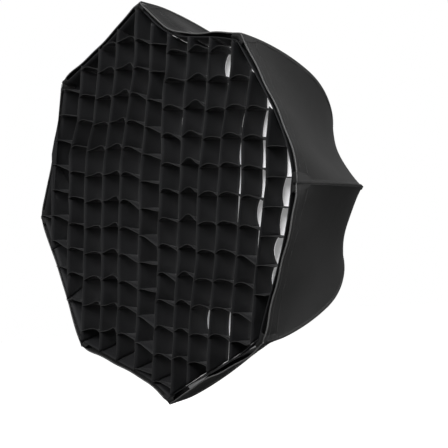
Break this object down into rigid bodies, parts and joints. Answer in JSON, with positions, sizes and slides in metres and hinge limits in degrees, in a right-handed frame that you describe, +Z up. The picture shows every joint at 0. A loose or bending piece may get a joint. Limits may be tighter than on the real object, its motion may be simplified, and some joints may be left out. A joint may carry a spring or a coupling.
{
  "type": "studio softbox",
  "caption": "Octagonal umbrella-folding softbox with black cloth canopy, white front diffuser, egg-crate cloth grid and rotating bayonet mount.",
  "frame": {"origin": "on the optical axis, at the rear seating face of the mount adapter, which the lamp's bayonet holds", "axes": "+Y along the optical axis towards the lamp (the canopy opens towards -Y), +Z up through a rib tip, +X right as seen from the front"},
  "size_m": [0.6, 0.3334, 0.6],
  "materials": {
    "adapter_metal": "satin black",
    "hub_plastic": "fine moulded texture",
    "steel": "zinc plated",
    "bracket_metal": "satin black",
    "strut_metal": "satin",
    "rib_fibreglass": "smooth",
    "button_plastic": "satin",
    "canopy_cloth": "black coated nylon outside, silver lining inside",
    "grid_cloth": "dull black cloth",
    "white_cloth": "translucent white",
    "hook_and_loop": "hook-and-loop tape",
    "elastic": "woven elastic"
  },
  "bodies": {
    "mount": {"mount_adapter": "adapter_metal", "retaining_ring": "steel"},
    "hub": {"hub_housing": "hub_plastic", "hub_cover": "hub_plastic", "rear_cuff": "canopy_cloth", "hub_screws": "steel", "rib_pivot_pins": "steel", "guide_posts": "steel", "button_springs": "steel"},
    "runner": {"runner_ring": "hub_plastic", "strut_pins": "steel"},
    "button_left": {"release_button_left": "button_plastic"},
    "button_right": {"release_button_right": "button_plastic"},
    "rib_1": {"rib_bracket_1": "bracket_metal", "rib_rod_1": "rib_fibreglass"},
    "strut_1": {"strut_1": "strut_metal"},
    "panel_1_ahead": {"canopy_panel_1_ahead": "canopy_cloth"},
    "panel_1_behind": {"canopy_panel_1_behind": "canopy_cloth"},
    "rib_2": {"rib_bracket_2": "bracket_metal", "rib_rod_2": "rib_fibreglass"},
    "strut_2": {"strut_2": "strut_metal"},
    "panel_2_ahead": {"canopy_panel_2_ahead": "canopy_cloth"},
    "panel_2_behind": {"canopy_panel_2_behind": "canopy_cloth"},
    "rib_3": {"rib_bracket_3": "bracket_metal", "rib_rod_3": "rib_fibreglass"},
    "strut_3": {"strut_3": "strut_metal"},
    "panel_3_ahead": {"canopy_panel_3_ahead": "canopy_cloth"},
    "panel_3_behind": {"canopy_panel_3_behind": "canopy_cloth"},
    "rib_4": {"rib_bracket_4": "bracket_metal", "rib_rod_4": "rib_fibreglass"},
    "strut_4": {"strut_4": "strut_metal"},
    "panel_4_ahead": {"canopy_panel_4_ahead": "canopy_cloth"},
    "panel_4_behind": {"canopy_panel_4_behind": "canopy_cloth"},
    "rib_5": {"rib_bracket_5": "bracket_metal", "rib_rod_5": "rib_fibreglass"},
    "strut_5": {"strut_5": "strut_metal"},
    "panel_5_ahead": {"canopy_panel_5_ahead": "canopy_cloth"},
    "panel_5_behind": {"canopy_panel_5_behind": "canopy_cloth"},
    "rib_6": {"rib_bracket_6": "bracket_metal", "rib_rod_6": "rib_fibreglass"},
    "strut_6": {"strut_6": "strut_metal"},
    "panel_6_ahead": {"canopy_panel_6_ahead": "canopy_cloth"},
    "panel_6_behind": {"canopy_panel_6_behind": "canopy_cloth"},
    "rib_7": {"rib_bracket_7": "bracket_metal", "rib_rod_7": "rib_fibreglass"},
    "strut_7": {"strut_7": "strut_metal"},
    "panel_7_ahead": {"canopy_panel_7_ahead": "canopy_cloth"},
    "panel_7_behind": {"canopy_panel_7_behind": "canopy_cloth"},
    "rib_8": {"rib_bracket_8": "bracket_metal", "rib_rod_8": "rib_fibreglass"},
    "strut_8": {"strut_8": "strut_metal"},
    "panel_8_ahead": {"canopy_panel_8_ahead": "canopy_cloth"},
    "panel_8_behind": {"canopy_panel_8_behind": "canopy_cloth"},
    "front_diffuser": {"front_diffuser": "white_cloth", "diffuser_band": "hook_and_loop"},
    "grid": {"grid_strips_upright": "grid_cloth", "grid_strips_level": "grid_cloth", "grid_border": "grid_cloth"},
    "inner_diffuser": {"inner_diffuser": "white_cloth", "inner_diffuser_straps": "elastic"}
  },
  "joints": [
    {"name": "hub_rotation", "type": "hinge", "parent": "mount", "child": "hub", "pos_m": [0, 0, 0], "axis": [0, 1, 0], "continuous": true},
    {"name": "runner_slide", "type": "slide", "parent": "hub", "child": "runner", "axis": [0, -1, 0], "range_m": [0, 0.0566]},
    {"name": "release_button_left_press", "type": "slide", "parent": "hub", "child": "button_left", "axis": [0, -1, 0], "range_m": [0, 0.003], "stiffness_N_per_m": 400, "springref_m": -0.003, "deforming": ["button_springs"]},
    {"name": "release_button_right_press", "type": "slide", "parent": "hub", "child": "button_right", "axis": [0, -1, 0], "range_m": [0, 0.003], "stiffness_N_per_m": 400, "springref_m": -0.003},
    {"name": "rib_1_fold", "type": "hinge", "parent": "hub", "child": "rib_1", "pos_m": [0, -0.0224, 0.064], "axis": [1, 0, 0], "range_deg": [0, 42.51]},
    {"name": "strut_1_swing", "type": "hinge", "parent": "runner", "child": "strut_1", "pos_m": [0, -0.0486, 0.064], "axis": [-1, 0, 0], "range_deg": [0, 42.51]},
    {"name": "panel_1_ahead_pleat", "type": "hinge", "parent": "rib_1", "child": "panel_1_ahead", "pos_m": [-0.0075, -0.0224, 0.064], "axis": [-0.9344, 0.1291, 0.3321], "range_deg": [0, 23.67], "deforming": ["canopy_panel_1_ahead"]},
    {"name": "panel_1_behind_pleat", "type": "hinge", "parent": "rib_1", "child": "panel_1_behind", "pos_m": [0.0075, -0.0224, 0.064], "axis": [-0.9344, -0.1291, -0.3321], "range_deg": [0, 23.67], "deforming": ["canopy_panel_1_behind"]},
    {"name": "rib_2_fold", "type": "hinge", "parent": "hub", "child": "rib_2", "pos_m": [-0.04525, -0.0224, 0.04525], "axis": [0.7071, 0, 0.7071], "range_deg": [0, 42.51]},
    {"name": "strut_2_swing", "type": "hinge", "parent": "runner", "child": "strut_2", "pos_m": [-0.04525, -0.0486, 0.04525], "axis": [-0.7071, 0, -0.7071], "range_deg": [0, 42.51]},
    {"name": "panel_2_ahead_pleat", "type": "hinge", "parent": "rib_2", "child": "panel_2_ahead", "pos_m": [-0.05056, -0.0224, 0.03995], "axis": [-0.8955, 0.1291, -0.4259], "range_deg": [0, 23.67], "deforming": ["canopy_panel_2_ahead"]},
    {"name": "panel_2_behind_pleat", "type": "hinge", "parent": "rib_2", "child": "panel_2_behind", "pos_m": [-0.03995, -0.0224, 0.05056], "axis": [-0.4259, -0.1291, -0.8955], "range_deg": [0, 23.67], "deforming": ["canopy_panel_2_behind"]},
    {"name": "rib_3_fold", "type": "hinge", "parent": "hub", "child": "rib_3", "pos_m": [-0.064, -0.0224, 0], "axis": [0, 0, 1], "range_deg": [0, 42.51]},
    {"name": "strut_3_swing", "type": "hinge", "parent": "runner", "child": "strut_3", "pos_m": [-0.064, -0.0486, 0], "axis": [0, 0, -1], "range_deg": [0, 42.51]},
    {"name": "panel_3_ahead_pleat", "type": "hinge", "parent": "rib_3", "child": "panel_3_ahead", "pos_m": [-0.064, -0.0224, -0.0075], "axis": [-0.3321, 0.1291, -0.9344], "range_deg": [0, 23.67], "deforming": ["canopy_panel_3_ahead"]},
    {"name": "panel_3_behind_pleat", "type": "hinge", "parent": "rib_3", "child": "panel_3_behind", "pos_m": [-0.064, -0.0224, 0.0075], "axis": [0.3321, -0.1291, -0.9344], "range_deg": [0, 23.67], "deforming": ["canopy_panel_3_behind"]},
    {"name": "rib_4_fold", "type": "hinge", "parent": "hub", "child": "rib_4", "pos_m": [-0.04525, -0.0224, -0.04525], "axis": [-0.7071, 0, 0.7071], "range_deg": [0, 42.51]},
    {"name": "strut_4_swing", "type": "hinge", "parent": "runner", "child": "strut_4", "pos_m": [-0.04525, -0.0486, -0.04525], "axis": [0.7071, 0, -0.7071], "range_deg": [0, 42.51]},
    {"name": "panel_4_ahead_pleat", "type": "hinge", "parent": "rib_4", "child": "panel_4_ahead", "pos_m": [-0.03995, -0.0224, -0.05056], "axis": [0.4259, 0.1291, -0.8955], "range_deg": [0, 23.67], "deforming": ["canopy_panel_4_ahead"]},
    {"name": "panel_4_behind_pleat", "type": "hinge", "parent": "rib_4", "child": "panel_4_behind", "pos_m": [-0.05056, -0.0224, -0.03995], "axis": [0.8955, -0.1291, -0.4259], "range_deg": [0, 23.67], "deforming": ["canopy_panel_4_behind"]},
    {"name": "rib_5_fold", "type": "hinge", "parent": "hub", "child": "rib_5", "pos_m": [0, -0.0224, -0.064], "axis": [-1, 0, 0], "range_deg": [0, 42.51]},
    {"name": "strut_5_swing", "type": "hinge", "parent": "runner", "child": "strut_5", "pos_m": [0, -0.0486, -0.064], "axis": [1, 0, 0], "range_deg": [0, 42.51]},
    {"name": "panel_5_ahead_pleat", "type": "hinge", "parent": "rib_5", "child": "panel_5_ahead", "pos_m": [0.0075, -0.0224, -0.064], "axis": [0.9344, 0.1291, -0.3321], "range_deg": [0, 23.67], "deforming": ["canopy_panel_5_ahead"]},
    {"name": "panel_5_behind_pleat", "type": "hinge", "parent": "rib_5", "child": "panel_5_behind", "pos_m": [-0.0075, -0.0224, -0.064], "axis": [0.9344, -0.1291, 0.3321], "range_deg": [0, 23.67], "deforming": ["canopy_panel_5_behind"]},
    {"name": "rib_6_fold", "type": "hinge", "parent": "hub", "child": "rib_6", "pos_m": [0.04525, -0.0224, -0.04525], "axis": [-0.7071, 0, -0.7071], "range_deg": [0, 42.51]},
    {"name": "strut_6_swing", "type": "hinge", "parent": "runner", "child": "strut_6", "pos_m": [0.04525, -0.0486, -0.04525], "axis": [0.7071, 0, 0.7071], "range_deg": [0, 42.51]},
    {"name": "panel_6_ahead_pleat", "type": "hinge", "parent": "rib_6", "child": "panel_6_ahead", "pos_m": [0.05056, -0.0224, -0.03995], "axis": [0.8955, 0.1291, 0.4259], "range_deg": [0, 23.67], "deforming": ["canopy_panel_6_ahead"]},
    {"name": "panel_6_behind_pleat", "type": "hinge", "parent": "rib_6", "child": "panel_6_behind", "pos_m": [0.03995, -0.0224, -0.05056], "axis": [0.4259, -0.1291, 0.8955], "range_deg": [0, 23.67], "deforming": ["canopy_panel_6_behind"]},
    {"name": "rib_7_fold", "type": "hinge", "parent": "hub", "child": "rib_7", "pos_m": [0.064, -0.0224, 0], "axis": [0, 0, -1], "range_deg": [0, 42.51]},
    {"name": "strut_7_swing", "type": "hinge", "parent": "runner", "child": "strut_7", "pos_m": [0.064, -0.0486, 0], "axis": [0, 0, 1], "range_deg": [0, 42.51]},
    {"name": "panel_7_ahead_pleat", "type": "hinge", "parent": "rib_7", "child": "panel_7_ahead", "pos_m": [0.064, -0.0224, 0.0075], "axis": [0.3321, 0.1291, 0.9344], "range_deg": [0, 23.67], "deforming": ["canopy_panel_7_ahead"]},
    {"name": "panel_7_behind_pleat", "type": "hinge", "parent": "rib_7", "child": "panel_7_behind", "pos_m": [0.064, -0.0224, -0.0075], "axis": [-0.3321, -0.1291, 0.9344], "range_deg": [0, 23.67], "deforming": ["canopy_panel_7_behind"]},
    {"name": "rib_8_fold", "type": "hinge", "parent": "hub", "child": "rib_8", "pos_m": [0.04525, -0.0224, 0.04525], "axis": [0.7071, 0, -0.7071], "range_deg": [0, 42.51]},
    {"name": "strut_8_swing", "type": "hinge", "parent": "runner", "child": "strut_8", "pos_m": [0.04525, -0.0486, 0.04525], "axis": [-0.7071, 0, 0.7071], "range_deg": [0, 42.51]},
    {"name": "panel_8_ahead_pleat", "type": "hinge", "parent": "rib_8", "child": "panel_8_ahead", "pos_m": [0.03995, -0.0224, 0.05056], "axis": [-0.4259, 0.1291, 0.8955], "range_deg": [0, 23.67], "deforming": ["canopy_panel_8_ahead"]},
    {"name": "panel_8_behind_pleat", "type": "hinge", "parent": "rib_8", "child": "panel_8_behind", "pos_m": [0.05056, -0.0224, 0.03995], "axis": [-0.8955, -0.1291, 0.4259], "range_deg": [0, 23.67], "deforming": ["canopy_panel_8_behind"]},
    {"name": "front_diffuser_lift", "type": "slide", "parent": "hub", "child": "front_diffuser", "axis": [0, -1, 0], "range_m": [0, 0.75]},
    {"name": "grid_lift", "type": "slide", "parent": "front_diffuser", "child": "grid", "axis": [0, -1, 0], "range_m": [0, 0.12]},
    {"name": "inner_diffuser_lift", "type": "slide", "parent": "hub", "child": "inner_diffuser", "axis": [0, -1, 0], "range_m": [0, 0.75]}
  ],
  "couplings": [
    {"joint": "rib_1_fold", "follows": "runner_slide", "rad_per_m": 13.105},
    {"joint": "strut_1_swing", "follows": "runner_slide", "rad_per_m": 13.105},
    {"joint": "panel_1_ahead_pleat", "follows": "runner_slide", "rad_per_m": 7.293},
    {"joint": "panel_1_behind_pleat", "follows": "runner_slide", "rad_per_m": 7.293},
    {"joint": "rib_2_fold", "follows": "runner_slide", "rad_per_m": 13.105},
    {"joint": "strut_2_swing", "follows": "runner_slide", "rad_per_m": 13.105},
    {"joint": "panel_2_ahead_pleat", "follows": "runner_slide", "rad_per_m": 7.293},
    {"joint": "panel_2_behind_pleat", "follows": "runner_slide", "rad_per_m": 7.293},
    {"joint": "rib_3_fold", "follows": "runner_slide", "rad_per_m": 13.105},
    {"joint": "strut_3_swing", "follows": "runner_slide", "rad_per_m": 13.105},
    {"joint": "panel_3_ahead_pleat", "follows": "runner_slide", "rad_per_m": 7.293},
    {"joint": "panel_3_behind_pleat", "follows": "runner_slide", "rad_per_m": 7.293},
    {"joint": "rib_4_fold", "follows": "runner_slide", "rad_per_m": 13.105},
    {"joint": "strut_4_swing", "follows": "runner_slide", "rad_per_m": 13.105},
    {"joint": "panel_4_ahead_pleat", "follows": "runner_slide", "rad_per_m": 7.293},
    {"joint": "panel_4_behind_pleat", "follows": "runner_slide", "rad_per_m": 7.293},
    {"joint": "rib_5_fold", "follows": "runner_slide", "rad_per_m": 13.105},
    {"joint": "strut_5_swing", "follows": "runner_slide", "rad_per_m": 13.105},
    {"joint": "panel_5_ahead_pleat", "follows": "runner_slide", "rad_per_m": 7.293},
    {"joint": "panel_5_behind_pleat", "follows": "runner_slide", "rad_per_m": 7.293},
    {"joint": "rib_6_fold", "follows": "runner_slide", "rad_per_m": 13.105},
    {"joint": "strut_6_swing", "follows": "runner_slide", "rad_per_m": 13.105},
    {"joint": "panel_6_ahead_pleat", "follows": "runner_slide", "rad_per_m": 7.293},
    {"joint": "panel_6_behind_pleat", "follows": "runner_slide", "rad_per_m": 7.293},
    {"joint": "rib_7_fold", "follows": "runner_slide", "rad_per_m": 13.105},
    {"joint": "strut_7_swing", "follows": "runner_slide", "rad_per_m": 13.105},
    {"joint": "panel_7_ahead_pleat", "follows": "runner_slide", "rad_per_m": 7.293},
    {"joint": "panel_7_behind_pleat", "follows": "runner_slide", "rad_per_m": 7.293},
    {"joint": "rib_8_fold", "follows": "runner_slide", "rad_per_m": 13.105},
    {"joint": "strut_8_swing", "follows": "runner_slide", "rad_per_m": 13.105},
    {"joint": "panel_8_ahead_pleat", "follows": "runner_slide", "rad_per_m": 7.293},
    {"joint": "panel_8_behind_pleat", "follows": "runner_slide", "rad_per_m": 7.293},
    {"joint": "front_diffuser_lift", "follows": "runner_slide", "ratio": 13.247},
    {"joint": "inner_diffuser_lift", "follows": "runner_slide", "ratio": 13.247}
  ]
}
